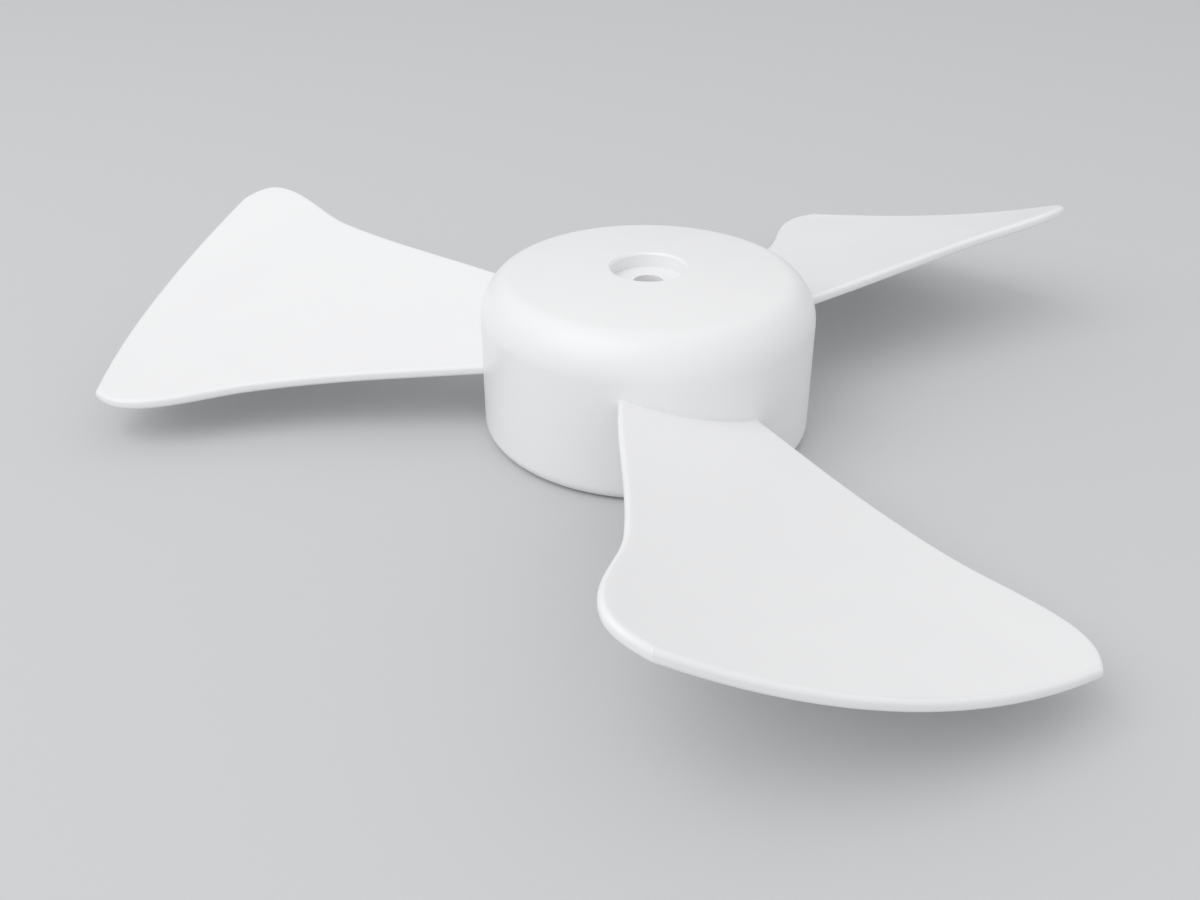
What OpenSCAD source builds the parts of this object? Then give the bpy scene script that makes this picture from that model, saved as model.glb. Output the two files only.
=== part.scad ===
// Fan blade for a table fan, one moulding: a domed hub that slips on the motor shaft and three pitched blades.
// Lengths are in millimetres and angles in degrees. The shaft axis is Z and +Z is the front of the fan.
// The origin is on the axis, at the roof of the slots for the shaft's drive pin.
// Heights below are measured from the hub's rim, and the whole part is lowered to that origin at the end.

/* [Blades] */
// Number of blades round the hub
blade_count = 3; // [2:1:4]
// Direction of the first blade's centre line, counter-clockwise from +X
blade_start = -72.6; // [-180:0.1:180]
// Radius of the circle the blades end on
tip_r = 150; // [130:1:190]
// Height of the blade's front face on its centre line
blade_h = 23.6; // [20:0.1:26]
// Slope of the blade across its centre line, down towards the leading edge
pitch = 15.6; // [8:0.1:22]
// Radius of the hollow that the front face is bent to
camber_r = 312; // [250:1:600]
// Thickness of the blade
blade_t = 2.85; // [2.5:0.05:4]
// Radius that rounds both borders of the blade's edge
edge_round = 1.1; // [0.4:0.1:1.1]

/* [Leading edge, the low side] */
// Distance from the centre line where the edge leaves the hub
lead_root = 17.7; // [14:0.1:20]
// Angle by which the edge spreads from the centre line at the hub
lead_root_angle = 15.7; // [10:0.1:20]
// Distance from the centre line at the waist
lead_waist = 36.8; // [33:0.1:40]
// Angle by which the edge spreads at the waist
lead_waist_angle = 25; // [18:0.1:32]
// Length from the waist to the tip corner, along the centre line
lead_waist_back = 39.6; // [34:0.1:46]
// Distance from the centre line at the widest point of the shoulder
lead_shoulder = 50.9; // [48.5:0.1:54]
// Length from the widest point of the shoulder to the tip corner, along the centre line
lead_shoulder_back = 8.9; // [6:0.1:13]
// Distance from the centre line to the tip corner
lead_corner = 47.8; // [45:0.1:48.2]
// Angle by which the edge draws in at the tip corner
lead_corner_angle = 34.4; // [26:0.1:45]

/* [Trailing edge, the high side] */
// Distance from the centre line where the edge leaves the hub
trail_root = 21; // [17:0.1:24]
// Angle by which the edge spreads from the centre line at the hub
trail_root_angle = 16.6; // [10:0.1:20]
// Distance from the centre line at the waist
trail_waist = 36.8; // [34:0.1:40]
// Angle by which the edge spreads at the waist
trail_waist_angle = 18.7; // [14:0.1:26]
// Length from the waist to the tip corner, along the centre line
trail_waist_back = 38.8; // [34:0.1:44]
// Distance from the centre line at the widest point of the shoulder
trail_shoulder = 49.2; // [46:0.1:53]
// Length from the widest point of the shoulder to the tip corner, along the centre line
trail_shoulder_back = 9.5; // [7:0.1:13]
// Distance from the centre line to the tip corner
trail_corner = 43; // [40:0.1:45]
// Angle by which the edge draws in at the tip corner
trail_corner_angle = 55.3; // [45:0.1:62]

/* [Hub outside] */
// Radius of the hub's side
hub_r = 44.9; // [40:0.1:55]
// Height of the line where the side ends and the dome begins
line_h = 33; // [28:0.5:45]
// Radius that rounds the foot of the side
foot_round = 4; // [1:0.5:4.5]
// Radius of the dome's flank, which rises from the side
flank_r = 12.8; // [10:0.1:16]
// Angle that the flank turns through before the corner starts
flank_turn = 47.8; // [35:0.1:60]
// Radius of the dome's corner
corner_r = 7.7; // [6:0.1:9.5]
// Slope of the dome where the corner runs out into the crown
crown_slope = 5.9; // [3:0.1:9]

/* [Hub seat for the spinner] */
// Radius of the round recess in the crown
recess_r = 10; // [7:0.1:13]
// Depth of the recess below the top of the dome
recess_depth = 4.2; // [2.5:0.1:6]
// Width of the chamfer round the recess
recess_chamfer = 0.6; // [0.2:0.1:1.5]
// Thickness of the recess's wall and floor
cup_wall = 4; // [2.5:0.5:5]

/* [Hub inside] */
// Radius of the bore for the motor shaft
bore_r = 4; // [3:0.1:5]
// Thickness of the side at its rim
skirt_wall = 5; // [4.5:0.5:7]
// Thickness of the dome at the top
crown_wall = 5; // [4:0.5:6]
// Radius of the corner between the hollow's roof and its side
roof_round = 7; // [3:0.5:10]
// Radius of the boss round the bore
boss_r = 9; // [7.5:0.5:12]
// Height of the boss's end above the rim
boss_h = 6; // [2:0.5:10]
// Width of the two crossed slots for the shaft's drive pin
slot_w = 4; // [2.5:0.1:4.5]
// Depth of the crossed slots in the boss's end
slot_depth = 5; // [3:0.5:7]
// Number of ribs between the boss and the side
rib_count = 6; // [3:1:9]
// Thickness of a rib
rib_t = 2.5; // [1.5:0.1:4]
// Height of a rib's lower edge above the rim
rib_h = 20; // [12:0.5:30]

/* [Hidden] */
plastic = [0.93, 0.93, 0.93];

// Steps along a blade, across it and round one border of its edge
steps_along = 30;
steps_across = 12;
steps_round = 3;
// Crowding of the steps along the blade towards the tip, where its outline turns most
crowding = 1.5;
// Sides given to a full circle, to the flat curve of the crown and to the turned hub
circle_sides = 96;
crown_sides = 720;
turn_sides = 180;
// How far a cut runs past the face it opens
past = 1;

pin_seat_h = boss_h + slot_depth;
root_r = hub_r - skirt_wall/2;
face_axis = [camber_r*sin(pitch), blade_h + camber_r*cos(pitch)];

flank_c = [hub_r - flank_r, line_h];
corner_c = flank_c + (flank_r - corner_r)*ray(flank_turn);
crown_r = corner_r + corner_c.x/sin(crown_slope);
crown_c = [0, corner_c.y - (crown_r - corner_r)*cos(crown_slope)];
top_h = crown_c.y + crown_r;
roof_h = top_h - crown_wall;
recess_h = top_h - recess_depth;
recess_edge_h = crown_c.y + sqrt(crown_r^2 - (recess_r + recess_chamfer)^2);

// Stations of each side of the blade: place along the centre line, distance from it and slope.
lead_corner_s = sqrt(tip_r^2 - lead_corner^2);
trail_corner_s = sqrt(tip_r^2 - trail_corner^2);
lead = [
    [hub_r, lead_root, tan(lead_root_angle)],
    [lead_corner_s - lead_waist_back, lead_waist, tan(lead_waist_angle)],
    [lead_corner_s - lead_shoulder_back, lead_shoulder, 0],
    [lead_corner_s, lead_corner, -tan(lead_corner_angle)]
];
trail = [
    [hub_r, trail_root, tan(trail_root_angle)],
    [trail_corner_s - trail_waist_back, trail_waist, tan(trail_waist_angle)],
    [trail_corner_s - trail_shoulder_back, trail_shoulder, 0],
    [trail_corner_s, trail_corner, -tan(trail_corner_angle)]
];

function ray(angle) = [cos(angle), sin(angle)];

function mix(a, b, v) = (1 - v)*a + v*b;

// Point between two points on a turn round the axis.
function turn_mix(p, q, v) = mix(norm(p), norm(q), v)*ray(mix(atan2(p.y, p.x), atan2(q.y, q.x), v));

// Distance from the centre line between two stations, as a smooth cubic.
function span(s, a, b) =
    let(h = b[0] - a[0], u = (s - a[0])/h)
    (2*u^3 - 3*u^2 + 1)*a[1] + (u^3 - 2*u^2 + u)*h*a[2] + (3*u^2 - 2*u^3)*b[1] + (u^3 - u^2)*h*b[2];

// Distance of a side from the centre line. Inside the hub it goes straight on.
function side_t(s, side) =
    s < side[0][0] ? side[0][1] + side[0][2]*(s - side[0][0])
    : s < side[1][0] ? span(s, side[0], side[1])
    : s < side[2][0] ? span(s, side[1], side[2])
    : span(s, side[2], side[3]);

function side_slope(s, side) =
    let(e = 0.01)
    (side_t(s + e, side) - side_t(s - e, side))/(2*e);

// Place where a side meets the circle its root ends on, inside the hub's wall.
function root_s(side) =
    let(m = side[0][2], a = side[0][1] - m*side[0][0])
    (sqrt(root_r^2*(1 + m^2) - a^2) - a*m)/(1 + m^2);

// Point i of a side, and the direction that leads straight out of the blade there.
function side_s(i, side) = mix(side[3][0], root_s(side), (1 - i/steps_along)^crowding);
function side_point(i, side, sign) = let(s = side_s(i, side)) [s, sign*side_t(s, side)];
function side_out(i, side, sign) =
    let(m = i < steps_along ? side_slope(side_s(i, side), side) : side[3][2])
    [-m, sign]/norm([m, 1]);

// Heights of the front and back faces over a plan point, and their rise per unit of t.
function face_z(t, behind) = face_axis.y - sqrt((camber_r + behind)^2 - (t - face_axis.x)^2);
function face_rise(t) = (t - face_axis.x)/sqrt(camber_r^2 - (t - face_axis.x)^2);

// Section of the edge at an outline point, from the front face round to the back face.
function edge_section(p, out) =
    let(
        c = p - edge_round*out,
        tilt = atan(face_rise(c.y)*out.y),
        front = face_z(c.y, 0) - edge_round/cos(tilt),
        back = face_z(c.y, blade_t) + edge_round/cos(tilt)
    )
    [
        for (k = [0 : steps_round])
            let(a = mix(90 + tilt, 0, k/steps_round), q = c + edge_round*cos(a)*out)
            [q.x, q.y, k == 0 ? face_z(q.y, 0) : front + edge_round*sin(a)],
        for (k = [0 : steps_round])
            let(a = mix(0, tilt - 90, k/steps_round), q = c + edge_round*cos(a)*out)
            [q.x, q.y, k == steps_round ? face_z(q.y, blade_t) : back + edge_round*sin(a)]
    ];

// Direction of the mitre between two straight-out directions.
function mitre(a, b) = (a + b)/(1 + a*b);

// Outline of the blade as edge sections: up the trailing side, along the tip and down the leading side.
tip_from = -asin(trail_corner/tip_r);
tip_to = asin(lead_corner/tip_r);
sections = [
    for (i = [0 : steps_along - 1])
        edge_section(side_point(i, trail, -1), side_out(i, trail, -1)),
    edge_section(tip_r*ray(tip_from), mitre(side_out(steps_along, trail, -1), ray(tip_from))),
    for (j = [1 : steps_across - 1])
        let(a = mix(tip_from, tip_to, j/steps_across)) edge_section(tip_r*ray(a), ray(a)),
    edge_section(tip_r*ray(tip_to), mitre(side_out(steps_along, lead, 1), ray(tip_to))),
    for (i = [steps_along - 1 : -1 : 0])
        edge_section(side_point(i, lead, 1), side_out(i, lead, 1))
];
outline_count = len(sections);
rings = 2*steps_round + 1;

// Plan point i, j of a face, spread evenly between the four borders that ring k of the sections makes.
function border(n, k) = [sections[n][k].x, sections[n][k].y];
function face_plan(i, j, k) =
    let(
        u = i/steps_along,
        v = j/steps_across,
        trail_0 = border(0, k),
        trail_1 = border(steps_along, k),
        lead_0 = border(outline_count - 1, k),
        lead_1 = border(steps_along + steps_across, k),
        w = (norm(border(i, k)) - norm(trail_0))/(norm(trail_1) - norm(trail_0))
    )
    mix(border(i, k), border(outline_count - 1 - i, k), v)
    + (1 - w)*(turn_mix(trail_0, lead_0, v) - mix(trail_0, lead_0, v))
    + w*(border(steps_along + j, k) - mix(trail_1, lead_1, v));

function face_points(k, behind) = [
    for (i = [0 : steps_along], j = [0 : steps_across])
        let(q = face_plan(i, j, k)) [q.x, q.y, face_z(q.y, behind)]
];

// Numbers of the points: the front face, then the back face, then the rings between them.
face_count = (steps_along + 1)*(steps_across + 1);
function face_id(i, j) = i*(steps_across + 1) + j;
function outline_id(n) =
    n <= steps_along ? face_id(n, 0)
    : n <= steps_along + steps_across ? face_id(steps_along, n - steps_along)
    : face_id(outline_count - 1 - n, steps_across);
function ring_id(n, k) =
    k == 0 ? outline_id(n)
    : k == rings ? face_count + outline_id(n)
    : 2*face_count + n*(rings - 1) + k - 1;

function two(a, b, c, d) = [[a, b, c], [a, c, d]];

blade_points = concat(
    face_points(0, 0),
    face_points(rings, blade_t),
    [for (n = [0 : outline_count - 1], k = [1 : rings - 1]) sections[n][k]]
);
blade_faces = [
    for (i = [0 : steps_along - 1], j = [0 : steps_across - 1])
        let(a = face_id(i, j), b = face_id(i, j + 1), c = face_id(i + 1, j + 1), d = face_id(i + 1, j))
        each concat(two(a, b, c, d), two(face_count + d, face_count + c, face_count + b, face_count + a)),
    for (n = [0 : outline_count - 2], k = [0 : rings - 1])
        each two(ring_id(n, k), ring_id(n + 1, k), ring_id(n + 1, k + 1), ring_id(n, k + 1)),
    for (j = [0 : steps_across - 1])
        each two(face_id(0, j + 1), face_id(0, j), face_count + face_id(0, j), face_count + face_id(0, j + 1)),
    [for (k = [0 : rings]) ring_id(0, k)],
    [for (k = [rings : -1 : 0]) ring_id(outline_count - 1, k)]
];

// One blade, with its centre line along +X and its root inside the wall of the hub.
module blade() {
    color(plastic) polyhedron(points = blade_points, faces = blade_faces);
}

module blades() {
    for (i = [0 : blade_count - 1])
        rotate([0, 0, blade_start + i*360/blade_count]) blade();
}

// Slice of a disc between two directions.
module slice(c, r, from, to, sides) {
    intersection() {
        translate(c) circle(r, $fn = sides);
        translate(c) polygon([[0, 0], 2*r*ray(from), 2*r*ray(to)]);
    }
}

// Half section of everything under the dome, a given depth inside its outer face.
module dome_section(depth) {
    flank_end = flank_c + (flank_r - depth)*ray(flank_turn);
    corner_end = corner_c + (corner_r - depth)*ray(90 - crown_slope);
    slice(flank_c, flank_r - depth, 0, flank_turn, circle_sides);
    slice(corner_c, corner_r - depth, flank_turn, 90 - crown_slope, circle_sides);
    intersection() {
        slice(crown_c, crown_r - depth, 90 - crown_slope, 90, crown_sides);
        translate([0, flank_c.y]) square([hub_r, top_h]);
    }
    polygon([[0, -past], [hub_r - depth, -past], [hub_r - depth, line_h], flank_end, corner_end, [0, corner_end.y]]);
}

module hub_section() {
    intersection() {
        dome_section(0);
        union() {
            square([hub_r - foot_round, top_h]);
            translate([0, foot_round]) square([hub_r, top_h]);
            translate([hub_r - foot_round, foot_round]) circle(foot_round, $fn = circle_sides);
        }
    }
}

// Half section of the hollow under the dome, with a flat roof and a rounded corner.
module hollow_section() {
    r = hub_r - skirt_wall;
    translate([0, -past]) square([r - roof_round, roof_h + past]);
    translate([0, -past]) square([r, roof_h - roof_round + past]);
    translate([r - roof_round, roof_h - roof_round]) circle(roof_round, $fn = circle_sides);
}

// Half section of a rib between the boss and the side, ending inside the walls of the cup and the dome.
module rib_section() {
    difference() {
        intersection() {
            dome_section(crown_wall/2);
            translate([boss_r - past, rib_h]) square([root_r - boss_r + past, top_h]);
        }
        translate([0, recess_h - cup_wall/2]) square([recess_r + cup_wall/2, top_h]);
    }
}

module ribs() {
    color(plastic) for (i = [0 : rib_count - 1])
        rotate([90, 0, blade_start + i*360/rib_count]) linear_extrude(rib_t, center = true) rib_section();
}

// Half section of the boss round the bore and of the cup that carries the recess's floor.
module boss_section() {
    translate([0, boss_h]) square([boss_r, recess_h - boss_h]);
    translate([0, recess_h - cup_wall]) square([recess_r + cup_wall, cup_wall + recess_depth/2]);
}

// Half section of the bore, the recess and its chamfer.
module hole_section() {
    translate([0, -past]) square([bore_r, top_h + 2*past]);
    translate([0, recess_h]) square([recess_r, recess_depth + past]);
    translate([0, recess_edge_h]) polygon([
        [0, -recess_chamfer],
        [recess_r, -recess_chamfer],
        [recess_r + recess_chamfer + past, past],
        [0, past]
    ]);
}

// Crossed slots in the boss's end for the shaft's drive pin.
module pin_slots() {
    for (turn = [0, 90])
        rotate([0, 0, turn]) translate([-boss_r - past, -slot_w/2, boss_h - past])
            cube([2*(boss_r + past), slot_w, slot_depth + past]);
}

module hub() {
    color(plastic) difference() {
        union() {
            rotate_extrude($fn = turn_sides) difference() {
                union() {
                    difference() {
                        hub_section();
                        hollow_section();
                    }
                    boss_section();
                }
                hole_section();
            }
            ribs();
        }
        pin_slots();
    }
}

module fan_blade() {
    translate([0, 0, -pin_seat_h]) {
        hub();
        blades();
    }
}

fan_blade();
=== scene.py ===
from math import acos, asin, atan, cos, pi, radians, sin, sqrt, tan

import bmesh
import bpy
import numpy as np
from bpy.props import (
    FloatProperty,
    FloatVectorProperty,
    IntProperty,
    PointerProperty,
)
from bpy.types import Operator, Panel, PropertyGroup
from mathutils import Matrix, Vector


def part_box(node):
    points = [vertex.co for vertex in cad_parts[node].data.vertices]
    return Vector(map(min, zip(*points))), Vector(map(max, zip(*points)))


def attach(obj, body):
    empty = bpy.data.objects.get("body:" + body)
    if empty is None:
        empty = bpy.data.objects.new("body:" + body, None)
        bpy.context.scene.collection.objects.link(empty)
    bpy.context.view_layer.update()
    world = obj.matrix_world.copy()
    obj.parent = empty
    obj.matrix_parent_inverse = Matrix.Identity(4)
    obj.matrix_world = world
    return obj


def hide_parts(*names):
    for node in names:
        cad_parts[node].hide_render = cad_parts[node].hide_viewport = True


bl_info = {
    "name": "Table fan blade",
    "version": (1, 0, 0),
    "blender": (4, 5, 0),
    "location": "3D View > Sidebar > Fan blade",
    "description": "Builds a moulded fan blade with a domed hub, and a plain studio round it",
    "category": "Object",
}

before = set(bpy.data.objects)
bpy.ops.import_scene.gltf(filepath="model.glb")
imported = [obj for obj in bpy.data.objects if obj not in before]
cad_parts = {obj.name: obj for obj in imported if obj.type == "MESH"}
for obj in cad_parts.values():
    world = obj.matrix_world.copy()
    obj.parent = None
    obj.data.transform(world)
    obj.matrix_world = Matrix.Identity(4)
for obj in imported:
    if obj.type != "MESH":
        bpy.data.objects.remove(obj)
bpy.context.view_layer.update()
NODE = "fan_blade"
BODY = "root"
RIM_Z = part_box(NODE)[0].z
PLASTIC = "White moulded plastic"

# Working values of the meshes: steps of the arcs, the gap under which points merge, how far a piece
# reaches into the next one, and the angles from which an edge is bevelled or shown sharp.
FLANK_STEPS = 16
ARC_STEPS = 12
EASE_STEPS = 6
MERGE_GAP = 1e-7
OVERLAP = 0.001
BEVELLED_FROM = radians(60)
SHARP_FROM = radians(16)


def length(name, description, default):
    return FloatProperty(
        name=name, description=description, default=default, unit="LENGTH", precision=5
    )


def angle(name, description, degrees):
    return FloatProperty(
        name=name, description=description, default=radians(degrees), subtype="ANGLE"
    )


def number(name, description, default):
    return FloatProperty(name=name, description=description, default=default)


def whole(name, description, default, least=1):
    return IntProperty(name=name, description=description, default=default, min=least)


def position(name, description, default):
    return FloatVectorProperty(
        name=name, description=description, default=default, subtype="TRANSLATION"
    )


def colour(name, description, default):
    return FloatVectorProperty(
        name=name, description=description, default=default, size=3, min=0, max=1, subtype="COLOR"
    )


class HubSizes(PropertyGroup):
    """Sizes of the hub, with heights measured up from its rim"""

    radius: length("Radius", "Radius of the hub's side", 0.0449)
    line_height: length("Side height", "Height at which the side ends and the dome begins", 0.033)
    foot_round: length("Foot rounding", "Radius that rounds the foot of the side", 0.004)
    flank_radius: length("Flank radius", "Radius of the dome's flank", 0.0128)
    flank_turn: angle("Flank turn", "Angle the flank turns through before the corner", 47.8)
    corner_radius: length("Corner radius", "Radius of the dome's corner", 0.0077)
    crown_slope: angle("Crown slope", "Slope where the corner runs out into the crown", 5.9)
    recess_radius: length("Recess radius", "Radius of the spinner recess in the crown", 0.010)
    recess_depth: length("Recess depth", "Depth of the recess below the top of the dome", 0.0042)
    recess_chamfer: length("Recess chamfer", "Width of the chamfer round the recess", 0.0006)
    cup_wall: length("Cup wall", "Thickness of the recess's wall and floor", 0.004)
    bore_radius: length("Bore radius", "Radius of the bore for the motor shaft", 0.004)
    skirt_wall: length("Side thickness", "Thickness of the side", 0.005)
    crown_wall: length("Dome thickness", "Thickness of the dome at the top", 0.005)
    roof_round: length(
        "Roof corner", "Radius of the corner between the hollow's roof and side", 0.007
    )
    boss_radius: length("Boss radius", "Radius of the boss round the bore", 0.009)
    boss_height: length("Boss height", "Height of the boss's end above the rim", 0.006)
    slot_width: length("Pin slot width", "Width of the crossed slots for the drive pin", 0.004)
    slot_depth: length("Pin slot depth", "Depth of the crossed slots in the boss's end", 0.005)
    rib_thickness: length("Rib thickness", "Thickness of a rib under the dome", 0.0025)
    rib_height: length("Rib height", "Height of a rib's lower edge above the rim", 0.020)
    rib_count: whole("Ribs", "Ribs between the boss and the side", 6)
    edge_ease: length("Edge easing", "Radius that breaks the sharp inner edges", 0.0004)
    steps_round: whole("Steps round", "Steps of the turned surfaces", 288, 24)


class BladeSizes(PropertyGroup):
    """Sizes of the blades, with heights measured up from the hub's rim"""

    count: whole("Blades", "Number of blades round the hub", 3)
    start: angle("Start", "Direction of the first blade's centre line, from +X", -72.6)
    tip_radius: length("Tip radius", "Radius of the circle the blades end on", 0.150)
    height: length("Height", "Height of the front face on the blade's centre line", 0.0236)
    pitch: angle("Pitch", "Slope across the blade, down towards the leading edge", 15.6)
    camber_radius: length(
        "Camber radius", "Radius of the hollow that the front face is bent to", 0.312
    )
    thickness: length("Thickness", "Thickness of the blade", 0.00285)
    edge_round: length("Edge rounding", "Radius that rounds both borders of the edge", 0.0011)
    lead_root: length(
        "Leading root", "Distance of the leading edge from the centre line at the hub", 0.0177
    )
    lead_root_angle: angle("Leading root spread", "Spread of the leading edge at the hub", 15.7)
    lead_waist: length("Leading waist", "Distance of the leading edge at the waist", 0.0368)
    lead_waist_angle: angle("Leading waist spread", "Spread of the leading edge at the waist", 25.0)
    lead_waist_back: length(
        "Leading waist place", "Length from the waist to the tip corner", 0.0396
    )
    lead_shoulder: length(
        "Leading shoulder", "Distance of the leading edge at its shoulder", 0.0509
    )
    lead_shoulder_back: length(
        "Leading shoulder place", "Length from the shoulder to the tip corner", 0.0089
    )
    lead_corner: length("Leading corner", "Distance of the tip corner", 0.0478)
    lead_corner_angle: angle(
        "Leading corner angle", "Angle the leading edge draws in by at the tip", 34.4
    )
    trail_root: length(
        "Trailing root", "Distance of the trailing edge from the centre line at the hub", 0.0210
    )
    trail_root_angle: angle("Trailing root spread", "Spread of the trailing edge at the hub", 16.6)
    trail_waist: length("Trailing waist", "Distance of the trailing edge at the waist", 0.0368)
    trail_waist_angle: angle(
        "Trailing waist spread", "Spread of the trailing edge at the waist", 18.7
    )
    trail_waist_back: length(
        "Trailing waist place", "Length from the waist to the tip corner", 0.0388
    )
    trail_shoulder: length(
        "Trailing shoulder", "Distance of the trailing edge at its shoulder", 0.0492
    )
    trail_shoulder_back: length(
        "Trailing shoulder place", "Length from the shoulder to the tip corner", 0.0095
    )
    trail_corner: length("Trailing corner", "Distance of the tip corner", 0.0430)
    trail_corner_angle: angle(
        "Trailing corner angle", "Angle the trailing edge draws in by at the tip", 55.3
    )
    steps_along: whole("Steps along", "Steps along a blade", 96, 8)
    steps_across: whole("Steps across", "Steps across a blade", 48, 4)
    steps_border: whole("Steps round a border", "Steps of an edge rounding", 8)


class PlasticLook(PropertyGroup):
    """Colour and surface of the moulded plastic"""

    tint: colour("Colour", "Colour of the moulded plastic", (0.90, 0.902, 0.91))
    shade: colour("Flow colour", "Colour of the faint flow marks", (0.88, 0.884, 0.894))
    refraction: number("Refraction", "Refractive index of the plastic", 1.49)
    flow_scale: number("Flow scale", "Flow marks to a metre", 22.0)
    flow_detail: number("Flow detail", "Detail of the flow marks", 3.0)
    flow_warp: number("Flow warp", "How far the flow marks are drawn out of shape", 1.2)
    flow_low: number("Flow low", "Flow value where the surface is smoothest", 0.3)
    flow_high: number("Flow high", "Flow value where the surface is dullest", 0.7)
    grain_scale: number("Grain scale", "Grains of the surface to a metre", 1500.0)
    grain_detail: number("Grain detail", "Detail of the surface grain", 2.0)
    grain_height: length("Grain height", "Height of the surface grain", 0.000008)
    roughness_low: number("Least roughness", "Roughness where smoothest", 0.30)
    roughness_high: number("Most roughness", "Roughness where dullest", 0.42)


class StudioSettings(PropertyGroup):
    """Floor, lamps, sky and camera"""

    floor_colour: colour("Floor", "Colour of the floor and the backdrop", (0.62, 0.63, 0.64))
    floor_size: length("Floor size", "Side of the floor", 12.0)
    floor_gap: length("Floor gap", "Gap that keeps the rim's face and the floor's apart", 0.00002)
    floor_roughness: number("Floor roughness", "Roughness of the floor", 0.9)
    floor_specular: number("Floor reflection", "Specular level of the floor", 0.1)
    sky_strength: number("Sky", "Strength of the even light all round", 0.76)
    key_power: FloatProperty(
        name="Key lamp", description="Power of the large lamp", default=9.0, unit="POWER"
    )
    key_size: length("Key size", "Side of the large lamp", 1.4)
    key_place: position("Key place", "Place of the large lamp", (-0.75, -0.65, 1.25))
    camera_place: position("Camera place", "Place of the camera", (0.0, -0.30802, 0.15640))
    camera_down: angle("Camera tilt", "How far the camera looks down", 29.951)
    camera_left: angle("Camera turn", "How far the camera looks to the left", 2.390)
    camera_view: angle("Camera angle", "Height of the camera's view", 40.0)
    camera_near: length("Camera near", "Distance from which the camera sees", 0.01)
    frame_shape: number("Frame shape", "Width of the picture over its height", 4 / 3)


# Plain geometry


def ray(turn):
    """Unit vector in a direction of the half section or of the plan."""
    return np.array([cos(turn), sin(turn)])


def arc(centre, radius, start, end, steps):
    """Points on an arc, both ends among them."""
    return [centre + radius * ray(a) for a in np.linspace(start, end, steps + 1)]


def mesh_object(name, points, faces):
    mesh = bpy.data.meshes.new(name)
    corners = [tuple(map(float, p)) for p in points]
    mesh.from_pydata(corners, [], [tuple(map(int, f)) for f in faces])
    mesh.validate()
    obj = bpy.data.objects.new(name, mesh)
    bpy.context.scene.collection.objects.link(obj)
    return obj


def baked(obj):
    """The object's evaluated shape becomes its own mesh, and its modifiers are removed."""
    bpy.context.view_layer.update()
    evaluated = obj.evaluated_get(bpy.context.evaluated_depsgraph_get())
    mesh = bpy.data.meshes.new_from_object(evaluated)
    obj.modifiers.clear()
    obj.data = mesh
    return obj


def tidy_mesh(obj):
    """Doubles are merged, faces with many corners cut up and all faces turned outwards."""
    work = bmesh.new()
    work.from_mesh(obj.data)
    bmesh.ops.remove_doubles(work, verts=work.verts, dist=MERGE_GAP)
    bmesh.ops.dissolve_degenerate(work, edges=work.edges, dist=MERGE_GAP)
    bmesh.ops.triangulate(work, faces=[face for face in work.faces if len(face.verts) > 4])
    bmesh.ops.recalc_face_normals(work, faces=work.faces)
    if work.calc_volume(signed=True) < 0:
        bmesh.ops.reverse_faces(work, faces=work.faces)
    work.to_mesh(obj.data)
    work.free()
    return obj


def combine(obj, other, operation):
    """One exact union or difference with another object, which is then removed."""
    modifier = obj.modifiers.new("Combine", "BOOLEAN")
    modifier.operation = operation
    modifier.solver = "EXACT"
    modifier.object = other
    baked(obj)
    bpy.data.objects.remove(other)
    return obj


# Geometry Nodes


class Tree:
    """A geometry node tree with named inputs and one geometry output."""

    def __init__(self, name, inputs):
        self.group = bpy.data.node_groups.new(name, "GeometryNodeTree")
        face = self.group.interface
        kinds = {"Geometry": "NodeSocketGeometry", **inputs}
        self.sockets = {
            label: face.new_socket(label, in_out="INPUT", socket_type=kind)
            for label, kind in kinds.items()
        }
        face.new_socket("Geometry", in_out="OUTPUT", socket_type="NodeSocketGeometry")
        self.start = self.node("NodeGroupInput")
        self.end = self.node("NodeGroupOutput")

    def node(self, kind, **settings):
        node = self.group.nodes.new(kind)
        for key, value in settings.items():
            setattr(node, key, value)
        return node

    def link(self, source, target):
        self.group.links.new(source, target)

    def math(self, operation, a, b=0):
        """Result of a calculation with numbers or with other nodes' outputs."""
        node = self.node("ShaderNodeMath", operation=operation)
        for socket, value in zip(node.inputs, (a, b)):
            if isinstance(value, (int, float)):
                socket.default_value = value
            else:
                self.link(value, socket)
        return node.outputs[0]

    def finish(self, geometry):
        """Real geometry with the material on it goes out."""
        real = self.node("GeometryNodeRealizeInstances")
        paint = self.node("GeometryNodeSetMaterial")
        self.link(geometry, real.inputs["Geometry"])
        self.link(real.outputs["Geometry"], paint.inputs["Geometry"])
        self.link(self.start.outputs["Material"], paint.inputs["Material"])
        self.link(paint.outputs["Geometry"], self.end.inputs["Geometry"])

    def apply(self, obj, **values):
        """The tree runs on the object with these inputs, and the result becomes its mesh."""
        modifier = obj.modifiers.new(self.group.name, "NODES")
        modifier.node_group = self.group
        for label, value in values.items():
            modifier[self.sockets[label].identifier] = value
        return baked(obj)


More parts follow.
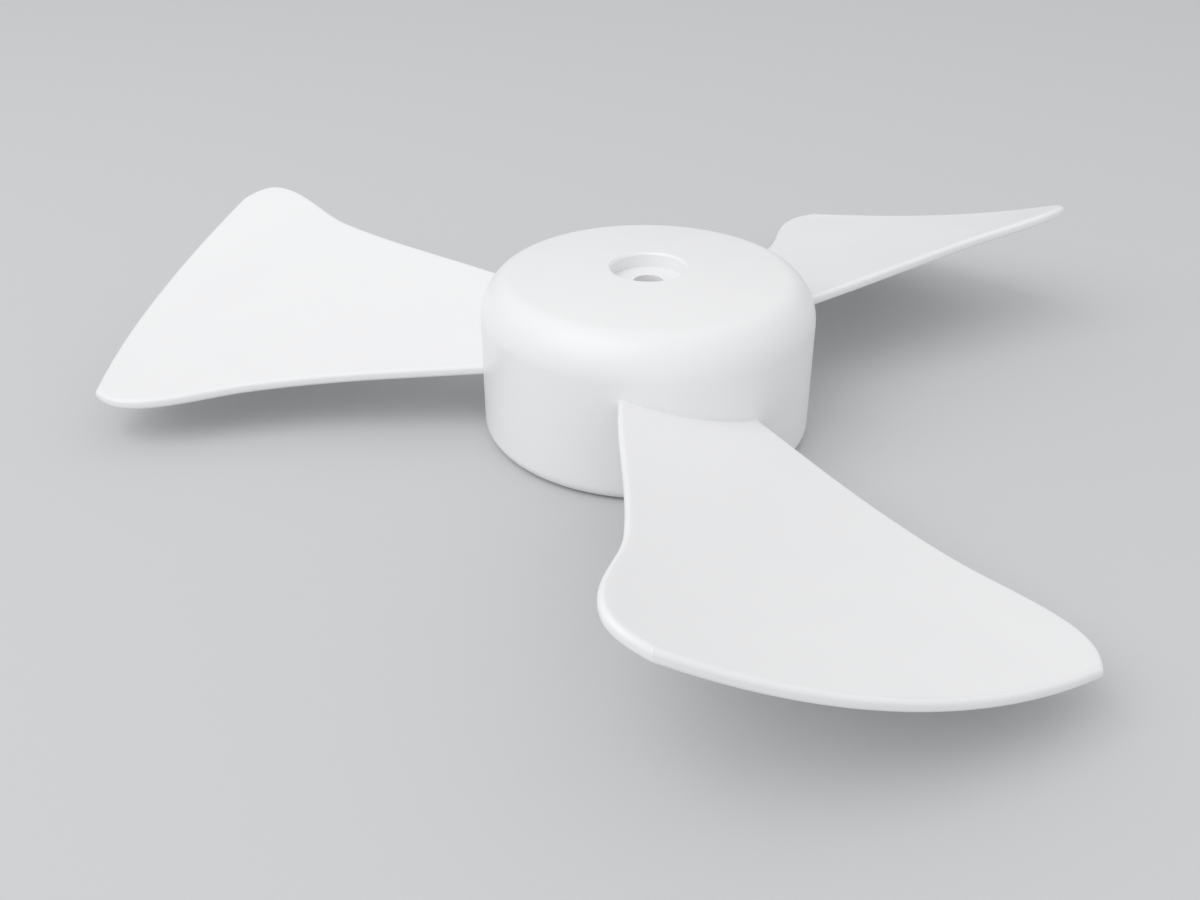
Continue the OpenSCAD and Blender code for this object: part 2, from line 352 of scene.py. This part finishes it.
def turned_tree():
    """Turns a closed half section, given as points in order, round the Z axis."""
    tree = Tree("Turned body", {"Steps": "NodeSocketInt", "Material": "NodeSocketMaterial"})
    start = tree.start.outputs
    size = tree.node("GeometryNodeAttributeDomainSize", component="MESH")
    tree.link(start["Geometry"], size.inputs["Geometry"])
    count = size.outputs["Point Count"]
    rows = tree.math("ADD", count, 1)
    grid = tree.node("GeometryNodeMeshGrid")
    tree.link(tree.math("ADD", start["Steps"], 1), grid.inputs["Vertices X"])
    tree.link(rows, grid.inputs["Vertices Y"])
    index = tree.node("GeometryNodeInputIndex").outputs["Index"]
    column = tree.math("FLOOR", tree.math("DIVIDE", tree.math("ADD", index, 0.5), rows))
    before = tree.math("MULTIPLY", column, rows)
    row = tree.math("MODULO", tree.math("SUBTRACT", index, before), count)
    sample = tree.node("GeometryNodeSampleIndex", data_type="FLOAT_VECTOR", domain="POINT")
    tree.link(start["Geometry"], sample.inputs["Geometry"])
    tree.link(tree.node("GeometryNodeInputPosition").outputs[0], sample.inputs["Value"])
    tree.link(row, sample.inputs["Index"])
    turn = tree.node("ShaderNodeVectorRotate", rotation_type="Z_AXIS")
    tree.link(sample.outputs["Value"], turn.inputs["Vector"])
    share = tree.math("DIVIDE", column, start["Steps"])
    tree.link(tree.math("MULTIPLY", share, 2 * pi), turn.inputs["Angle"])
    place = tree.node("GeometryNodeSetPosition")
    tree.link(grid.outputs["Mesh"], place.inputs["Geometry"])
    tree.link(turn.outputs["Vector"], place.inputs["Position"])
    merge = tree.node("GeometryNodeMergeByDistance")
    merge.inputs["Distance"].default_value = MERGE_GAP
    tree.link(place.outputs["Geometry"], merge.inputs["Geometry"])
    tree.finish(merge.outputs["Geometry"])
    return tree


def ring_tree():
    """Sets copies of the object round the Z axis at even angles."""
    tree = Tree(
        "Ring of copies",
        {
            "Count": "NodeSocketInt",
            "Start angle": "NodeSocketFloat",
            "Material": "NodeSocketMaterial",
        },
    )
    start = tree.start.outputs
    points = tree.node("GeometryNodePoints")
    tree.link(start["Count"], points.inputs["Count"])
    index = tree.node("GeometryNodeInputIndex").outputs["Index"]
    share = tree.math("DIVIDE", index, start["Count"])
    turn = tree.math("ADD", tree.math("MULTIPLY", share, 2 * pi), start["Start angle"])
    euler = tree.node("ShaderNodeCombineXYZ")
    tree.link(turn, euler.inputs["Z"])
    rotation = tree.node("FunctionNodeEulerToRotation")
    tree.link(euler.outputs[0], rotation.inputs[0])
    copies = tree.node("GeometryNodeInstanceOnPoints")
    tree.link(points.outputs[0], copies.inputs["Points"])
    tree.link(start["Geometry"], copies.inputs["Instance"])
    tree.link(rotation.outputs[0], copies.inputs["Rotation"])
    tree.finish(copies.outputs["Instances"])
    return tree


# The plastic


def white_plastic(look):
    """Smooth white moulded plastic with a fine grain and hardly visible flow marks."""
    material = bpy.data.materials.new(PLASTIC)
    material.use_nodes = True
    nodes, links = material.node_tree.nodes, material.node_tree.links
    shader = nodes["Principled BSDF"]
    shader.inputs["IOR"].default_value = look.refraction
    place = nodes.new("ShaderNodeTexCoord")

    flow = nodes.new("ShaderNodeTexNoise")
    flow.inputs["Scale"].default_value = look.flow_scale
    flow.inputs["Detail"].default_value = look.flow_detail
    flow.inputs["Distortion"].default_value = look.flow_warp
    links.new(place.outputs["Object"], flow.inputs["Vector"])

    paint = nodes.new("ShaderNodeMix")
    paint.data_type = "RGBA"
    paint.inputs["A"].default_value = (*look.shade, 1.0)
    paint.inputs["B"].default_value = (*look.tint, 1.0)
    links.new(flow.outputs["Fac"], paint.inputs["Factor"])
    links.new(paint.outputs["Result"], shader.inputs["Base Color"])

    polish = nodes.new("ShaderNodeMapRange")
    polish.inputs["From Min"].default_value = look.flow_low
    polish.inputs["From Max"].default_value = look.flow_high
    polish.inputs["To Min"].default_value = look.roughness_low
    polish.inputs["To Max"].default_value = look.roughness_high
    links.new(flow.outputs["Fac"], polish.inputs["Value"])
    links.new(polish.outputs["Result"], shader.inputs["Roughness"])

    grain = nodes.new("ShaderNodeTexNoise")
    grain.inputs["Scale"].default_value = look.grain_scale
    grain.inputs["Detail"].default_value = look.grain_detail
    links.new(place.outputs["Object"], grain.inputs["Vector"])
    bump = nodes.new("ShaderNodeBump")
    bump.inputs["Strength"].default_value = 1.0
    bump.inputs["Distance"].default_value = look.grain_height
    links.new(grain.outputs["Fac"], bump.inputs["Height"])
    links.new(bump.outputs["Normal"], shader.inputs["Normal"])
    return material


# The hub


class Dome:
    """The three arcs of the dome, as centres and radii in the half section."""

    def __init__(self, hub):
        self.flank = np.array([hub.radius - hub.flank_radius, hub.line_height])
        self.corner = self.flank + (hub.flank_radius - hub.corner_radius) * ray(hub.flank_turn)
        self.crown_radius = hub.corner_radius + self.corner[0] / sin(hub.crown_slope)
        drop = (self.crown_radius - hub.corner_radius) * cos(hub.crown_slope)
        self.crown = np.array([0.0, self.corner[1] - drop])
        self.top = self.crown[1] + self.crown_radius
        self.hub = hub

    def crown_height(self, radius):
        return self.crown[1] + sqrt(self.crown_radius**2 - radius**2)

    def outline(self, radius, depth=0.0):
        """Points up the dome, from the side's top to a radius, at a depth inside the outer face."""
        hub = self.hub
        brow = pi / 2 - hub.crown_slope
        crown_radius = self.crown_radius - depth
        return (
            arc(self.flank, hub.flank_radius - depth, 0, hub.flank_turn, FLANK_STEPS)
            + arc(self.corner, hub.corner_radius - depth, hub.flank_turn, brow, ARC_STEPS)[1:]
            + arc(self.crown, crown_radius, brow, acos(radius / crown_radius), ARC_STEPS)[1:]
        )


def hub_section(hub, dome):
    """Half section of the hub: up the outside, down the recess and the bore, back in the hollow."""
    ease = hub.edge_ease
    inside = hub.radius - hub.skirt_wall
    roof = dome.top - hub.crown_wall
    floor = dome.top - hub.recess_depth
    wide = hub.recess_radius + hub.recess_chamfer
    edge = dome.crown_height(wide)
    cup_radius = hub.recess_radius + hub.cup_wall
    cup = floor - hub.cup_wall
    foot, bore, boss = hub.foot_round, hub.bore_radius, hub.boss_radius
    corner = np.array([inside - hub.roof_round, roof - hub.roof_round])

    def eased(r, z, start, end):
        """The corner at this place, broken with a small arc between two directions."""
        centre = np.array([r, z]) - ease * (ray(start) + ray(end))
        return arc(centre, ease, start, end, EASE_STEPS)

    points = arc(np.array([hub.radius - foot, foot]), foot, -pi / 2, 0, ARC_STEPS)
    points += dome.outline(wide)
    points += [[hub.recess_radius, edge - hub.recess_chamfer], [hub.recess_radius, floor]]
    points += [[bore, floor], [bore, hub.boss_height]]
    points += eased(boss, hub.boss_height, -pi / 2, 0)
    points += [[boss, cup]]
    points += eased(cup_radius, cup, -pi / 2, 0)
    points += [[cup_radius, roof]]
    points += arc(corner, hub.roof_round, pi / 2, 0, ARC_STEPS)
    points += eased(inside, 0.0, pi, 3 * pi / 2)
    return points


def rib_section(hub, dome):
    """Outline of a rib in the half section, with its ends inside the boss, the cup and the side."""
    near, far = hub.boss_radius - OVERLAP, hub.radius - hub.skirt_wall / 2
    step = hub.recess_radius + hub.cup_wall / 2
    under = dome.top - hub.recess_depth - hub.cup_wall / 2
    foot = [[near, hub.rib_height], [far, hub.rib_height], [far, hub.line_height]]
    top = [p for p in dome.outline(step, hub.crown_wall / 2) if p[0] < far]
    return foot + top + [[step, under], [near, under]]


def prism(name, outline, thickness):
    """A flat outline in the half section, thickened both ways across it."""
    count = len(outline)
    half = thickness / 2
    points = [(p[0], side * half, p[1]) for side in (-1, 1) for p in outline]
    faces = [list(range(count)), list(range(2 * count - 1, count - 1, -1))]
    faces += [(i, i + count, (i + 1) % count + count, (i + 1) % count) for i in range(count)]
    return tidy_mesh(mesh_object(name, points, faces))


def block(name, low, high):
    """A box between two opposite corners."""
    corners = [
        (x, y, z)
        for x in (low[0], high[0])
        for y in (low[1], high[1])
        for z in (low[2], high[2])
    ]
    faces = [(0, 1, 3, 2), (4, 6, 7, 5), (0, 4, 5, 1), (2, 3, 7, 6), (0, 2, 6, 4), (1, 5, 7, 3)]
    return tidy_mesh(mesh_object(name, corners, faces))


# The blades


class Side:
    """One side of the blade's outline: a smooth cubic through root, waist, shoulder and corner."""

    def __init__(self, sizes, side, root_s):
        def get(name):
            return getattr(sizes, side + "_" + name)

        self.corner_s = sqrt(sizes.tip_radius**2 - get("corner") ** 2)
        self.s = [
            root_s,
            self.corner_s - get("waist_back"),
            self.corner_s - get("shoulder_back"),
            self.corner_s,
        ]
        self.t = [get("root"), get("waist"), get("shoulder"), get("corner")]
        self.slope = [
            tan(get("root_angle")),
            tan(get("waist_angle")),
            0.0,
            -tan(get("corner_angle")),
        ]

    def at(self, s):
        """Distance from the centre line and slope, at a length along it from the axis."""
        if s <= self.s[0]:
            return self.t[0] + self.slope[0] * (s - self.s[0]), self.slope[0]
        i = 0 if s < self.s[1] else 1 if s < self.s[2] else 2
        h = self.s[i + 1] - self.s[i]
        u = (s - self.s[i]) / h
        a, b, c, d = self.t[i], h * self.slope[i], self.t[i + 1], h * self.slope[i + 1]
        t = (
            (2 * u**3 - 3 * u**2 + 1) * a
            + (u**3 - 2 * u**2 + u) * b
            + (3 * u**2 - 2 * u**3) * c
            + (u**3 - u**2) * d
        )
        rise = (6 * u**2 - 6 * u) * (a - c) + (3 * u**2 - 4 * u + 1) * b + (3 * u**2 - 2 * u) * d
        return t, rise / h

    def meets(self, radius):
        """Where the straight root end of the side crosses a circle round the axis."""
        m = self.slope[0]
        a = self.t[0] - m * self.s[0]
        return (sqrt(radius**2 * (1 + m * m) - a * a) - a * m) / (1 + m * m)


class BladeForm:
    """The blade's faces, as heights over its plan, and its outline."""

    # Above 1, the steps along a blade lie closer together towards its tip.
    CROWDING = 1.5

    def __init__(self, sizes, hub):
        self.sizes = sizes
        self.axis_t = sizes.camber_radius * sin(sizes.pitch)
        self.axis_z = sizes.height + sizes.camber_radius * cos(sizes.pitch)
        self.root_radius = hub.radius - hub.skirt_wall / 2
        self.sides = {-1: Side(sizes, "trail", hub.radius), 1: Side(sizes, "lead", hub.radius)}

    def height(self, t, behind=0.0):
        """Height of the front face, or of a face behind it, at a distance from the centre line."""
        radius = self.sizes.camber_radius + behind
        return self.axis_z - np.sqrt(radius**2 - (t - self.axis_t) ** 2)

    def rise(self, t):
        """Slope of the front face across the blade."""
        return (t - self.axis_t) / sqrt(self.sizes.camber_radius**2 - (t - self.axis_t) ** 2)

    def side_points(self, sign):
        """Plan points of a side from root to corner, each with its outward direction."""
        side, steps = self.sides[sign], self.sizes.steps_along
        root = side.meets(self.root_radius)
        found = []
        for i in range(steps + 1):
            s = side.corner_s + (root - side.corner_s) * (1 - i / steps) ** self.CROWDING
            t, slope = side.at(s)
            out = np.array([-slope, sign]) / sqrt(1 + slope**2)
            found.append((np.array([s, sign * t]), out))
        return found

    def outline(self):
        """The whole outline: up the trailing side, along the tip and down the leading side."""
        trail, lead = self.side_points(-1), self.side_points(1)
        radius, steps = self.sizes.tip_radius, self.sizes.steps_across
        start, end = -asin(self.sizes.trail_corner / radius), asin(self.sizes.lead_corner / radius)
        tip = [(radius * ray(a), ray(a)) for a in np.linspace(start, end, steps + 1)]

        def mitre(a, b):
            return (a + b) / (1 + a @ b)

        tip[0] = (tip[0][0], mitre(trail[-1][1], tip[0][1]))
        tip[-1] = (tip[-1][0], mitre(lead[-1][1], tip[-1][1]))
        return trail[:-1] + tip + lead[-2::-1]

    def edge_section(self, point, out):
        """Section of the rounded edge, from the front face round to the back face."""
        sizes = self.sizes
        r, steps = sizes.edge_round, sizes.steps_border
        c = point - r * out
        tilt = atan(self.rise(c[1]) * out[1])
        front = self.height(c[1]) - r / cos(tilt)
        back = self.height(c[1], sizes.thickness) + r / cos(tilt)
        section = []
        for start, end, level in ((pi / 2 + tilt, 0.0, front), (0.0, tilt - pi / 2, back)):
            for a in np.linspace(start, end, steps + 1):
                q = c + r * cos(a) * out
                section.append([q[0], q[1], level + r * sin(a)])
        section[0][2] = self.height(section[0][1])
        section[-1][2] = self.height(section[-1][1], sizes.thickness)
        return section

    def face_grid(self, ring, behind):
        """Points of one face, spread evenly between the borders that the edge sections leave."""
        rows, columns = self.sizes.steps_along, self.sizes.steps_across
        low, high = ring[: rows + 1], ring[rows + columns :][::-1]
        tip = ring[rows : rows + columns + 1]
        v = np.linspace(0, 1, columns + 1)[:, None]

        def turned(p, q):
            radius = (1 - v) * np.hypot(*p) + v * np.hypot(*q)
            turn = (1 - v) * np.arctan2(p[1], p[0]) + v * np.arctan2(q[1], q[0])
            return np.hstack([radius * np.cos(turn), radius * np.sin(turn)])

        grid = []
        reach = [np.hypot(*p) for p in low]
        for i in range(rows + 1):
            w = (reach[i] - reach[0]) / (reach[-1] - reach[0])
            straight = (1 - v) * low[i] + v * high[i]
            root_bend = turned(low[0], high[0]) - ((1 - v) * low[0] + v * high[0])
            tip_bend = tip - ((1 - v) * low[-1] + v * high[-1])
            plan = straight + (1 - w) * root_bend + w * tip_bend
            grid.append(np.column_stack([plan, self.height(plan[:, 1], behind)]))
        return np.array(grid).reshape(-1, 3)

    def mesh(self):
        """Points and faces of the closed blade, with its centre line along +X."""
        rows, columns = self.sizes.steps_along, self.sizes.steps_across
        sections = np.array([self.edge_section(p, o) for p, o in self.outline()])
        count, rings = sections.shape[0], sections.shape[1] - 1
        front = self.face_grid(sections[:, 0, :2], 0.0)
        back = self.face_grid(sections[:, -1, :2], self.sizes.thickness)
        points = np.vstack([front, back, sections[:, 1:-1].reshape(-1, 3)])
        size = len(front)

        def face_id(i, j):
            return i * (columns + 1) + j

        def ring_id(n, k):
            if 0 < k < rings:
                return 2 * size + n * (rings - 1) + k - 1
            if n <= rows:
                place = face_id(n, 0)
            elif n <= rows + columns:
                place = face_id(rows, n - rows)
            else:
                place = face_id(count - 1 - n, columns)
            return place + (size if k else 0)

        faces = []
        for i in range(rows):
            for j in range(columns):
                quad = [face_id(i, j), face_id(i + 1, j), face_id(i + 1, j + 1), face_id(i, j + 1)]
                faces += [quad, [size + q for q in reversed(quad)]]
        for n in range(count - 1):
            for k in range(rings):
                here = [ring_id(n, k), ring_id(n, k + 1)]
                there = [ring_id(n + 1, k + 1), ring_id(n + 1, k)]
                faces.append(here + there)
        root = [face_id(0, j) for j in range(columns + 1)]
        faces.append(
            root
            + [ring_id(count - 1, k) for k in range(1, rings)]
            + [size + q for q in reversed(root)]
            + [ring_id(0, k) for k in range(rings - 1, 0, -1)]
        )
        return points, faces


# Operators


class FAN_OT_hub(Operator):
    """Turn the hub and add its ribs and the slots for the drive pin"""

    bl_idname = "fan_blade.hub"
    bl_label = "Build the hub"

    def execute(self, context):
        hub, blade = context.scene.fan_hub, context.scene.fan_blades
        plastic = white_plastic(context.scene.fan_plastic)
        dome = Dome(hub)
        section = hub_section(hub, dome)
        body = mesh_object("hub", [(p[0], 0.0, p[1]) for p in section], [])
        turned_tree().apply(body, Steps=hub.steps_round, Material=plastic)
        tidy_mesh(body)

        rib = prism("rib", rib_section(hub, dome), hub.rib_thickness)
        bevel = rib.modifiers.new("Eased edges", "BEVEL")
        bevel.width, bevel.segments, bevel.angle_limit = hub.edge_ease, EASE_STEPS, BEVELLED_FROM
        ring = {"Count": hub.rib_count, "Start angle": blade.start, "Material": plastic}
        ring_tree().apply(baked(rib), **ring)
        combine(body, rib, "UNION")

        reach, half = hub.boss_radius + OVERLAP, hub.slot_width / 2
        low, high = hub.boss_height - OVERLAP, hub.boss_height + hub.slot_depth
        combine(body, block("slot", (-reach, -half, low), (reach, half, high)), "DIFFERENCE")
        combine(body, block("slot", (-half, -reach, low), (half, reach, high)), "DIFFERENCE")
        return {"FINISHED"}


class FAN_OT_blades(Operator):
    """Shape one blade and set its copies round the hub"""

    bl_idname = "fan_blade.blades"
    bl_label = "Build the blades"

    def execute(self, context):
        hub, sizes = context.scene.fan_hub, context.scene.fan_blades
        points, faces = BladeForm(sizes, hub).mesh()
        blade = tidy_mesh(mesh_object("blades", points, faces))
        plastic = bpy.data.materials[PLASTIC]
        ring = {"Count": sizes.count, "Start angle": sizes.start, "Material": plastic}
        ring_tree().apply(blade, **ring)
        return {"FINISHED"}


class FAN_OT_moulding(Operator):
    """Unite hub and blades into the one moulding that stands for the CAD part"""

    bl_idname = "fan_blade.moulding"
    bl_label = "Unite the moulding"

    def execute(self, context):
        moulding = combine(bpy.data.objects["hub"], bpy.data.objects["blades"], "UNION")
        moulding.name = moulding.data.name = "fan_blade_moulding"
        moulding.data.transform(Matrix.Translation((0.0, 0.0, RIM_Z)))
        tidy_mesh(moulding)
        moulding.data.materials.clear()
        moulding.data.materials.append(bpy.data.materials[PLASTIC])
        moulding.data.polygons.foreach_set("material_index", [0] * len(moulding.data.polygons))
        moulding.data.shade_smooth()
        moulding.data.set_sharp_from_angle(angle=SHARP_FROM)
        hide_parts(NODE)
        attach(moulding, BODY)
        return {"FINISHED"}


class FAN_OT_stage(Operator):
    """Lay the floor and set the lamps, the sky and the camera"""

    bl_idname = "fan_blade.stage"
    bl_label = "Set the studio"

    def execute(self, context):
        studio = context.scene.fan_studio
        self.floor(studio)
        self.sky(context.scene, studio)
        self.key_lamp(studio)
        self.camera(context.scene, studio)
        return {"FINISHED"}

    def floor(self, studio):
        half, level = studio.floor_size / 2, RIM_Z - studio.floor_gap
        plan = [(-half, -half), (half, -half), (half, half), (-half, half)]
        floor = mesh_object("floor", [(x, y, level) for x, y in plan], [(0, 1, 2, 3)])
        material = bpy.data.materials.new("Plain pale floor")
        material.use_nodes = True
        shader = material.node_tree.nodes["Principled BSDF"]
        shader.inputs["Base Color"].default_value = (*studio.floor_colour, 1.0)
        shader.inputs["Roughness"].default_value = studio.floor_roughness
        shader.inputs["Specular IOR Level"].default_value = studio.floor_specular
        floor.data.materials.append(material)

    def sky(self, scene, studio):
        """Even white light, with a plain ground wherever the sky itself is seen or reflected."""
        world = bpy.data.worlds.new("Studio")
        scene.world = world
        world.use_nodes = True
        nodes, links = world.node_tree.nodes, world.node_tree.links
        even = nodes["Background"]
        even.inputs["Color"].default_value = (1.0, 1.0, 1.0, 1.0)
        even.inputs["Strength"].default_value = studio.sky_strength
        seen = nodes.new("ShaderNodeBackground")
        seen.inputs["Color"].default_value = (*studio.floor_colour, 1.0)
        seen.inputs["Strength"].default_value = studio.sky_strength
        path = nodes.new("ShaderNodeLightPath")
        plain = path.outputs["Is Camera Ray"]
        for kind in ("Is Glossy Ray", "Is Transmission Ray"):
            either = nodes.new("ShaderNodeMath")
            either.operation = "MAXIMUM"
            links.new(plain, either.inputs[0])
            links.new(path.outputs[kind], either.inputs[1])
            plain = either.outputs[0]
        mix = nodes.new("ShaderNodeMixShader")
        links.new(plain, mix.inputs["Fac"])
        links.new(even.outputs["Background"], mix.inputs[1])
        links.new(seen.outputs["Background"], mix.inputs[2])
        links.new(mix.outputs["Shader"], nodes["World Output"].inputs["Surface"])

    def key_lamp(self, studio):
        lamp = bpy.data.lights.new("key", "AREA")
        lamp.energy = studio.key_power
        lamp.size = studio.key_size
        key = bpy.data.objects.new("key", lamp)
        key.location = studio.key_place
        key.rotation_euler = (-Vector(studio.key_place)).to_track_quat("-Z", "Y").to_euler()
        bpy.context.scene.collection.objects.link(key)

    def camera(self, scene, studio):
        eye = bpy.data.cameras.new("camera")
        eye.sensor_fit = "HORIZONTAL"
        eye.lens = eye.sensor_width / (2 * studio.frame_shape * tan(studio.camera_view / 2))
        eye.clip_start = studio.camera_near
        camera = bpy.data.objects.new("camera", eye)
        camera.location = studio.camera_place
        camera.rotation_euler = (pi / 2 - studio.camera_down, 0.0, studio.camera_left)
        scene.collection.objects.link(camera)
        scene.camera = camera
        scene.view_settings.view_transform = "Standard"


class FAN_PT_sidebar(Panel):
    """Buttons and settings for every step"""

    bl_idname = "FAN_PT_sidebar"
    bl_label = "Fan blade"
    bl_space_type = "VIEW_3D"
    bl_region_type = "UI"
    bl_category = "Fan blade"

    def draw(self, context):
        for operator, group in PANEL_ROWS:
            self.layout.operator(operator.bl_idname)
            settings = getattr(context.scene, group)
            box = self.layout.box()
            for name in settings.bl_rna.properties.keys():
                if name not in ("rna_type", "name"):
                    box.prop(settings, name)


GROUPS = {
    "fan_hub": HubSizes,
    "fan_blades": BladeSizes,
    "fan_plastic": PlasticLook,
    "fan_studio": StudioSettings,
}
OPERATORS = (FAN_OT_hub, FAN_OT_blades, FAN_OT_moulding, FAN_OT_stage)
PANEL_ROWS = tuple(zip(OPERATORS, GROUPS))
CLASSES = (*GROUPS.values(), *OPERATORS, FAN_PT_sidebar)


def register():
    for cls in CLASSES:
        bpy.utils.register_class(cls)
    for name, group in GROUPS.items():
        setattr(bpy.types.Scene, name, PointerProperty(type=group))


def unregister():
    for name in GROUPS:
        delattr(bpy.types.Scene, name)
    for cls in reversed(CLASSES):
        bpy.utils.unregister_class(cls)


def main():
    register()
    bpy.ops.fan_blade.hub()
    bpy.ops.fan_blade.blades()
    bpy.ops.fan_blade.moulding()
    bpy.ops.fan_blade.stage()


if __name__ == "__main__":
    main()
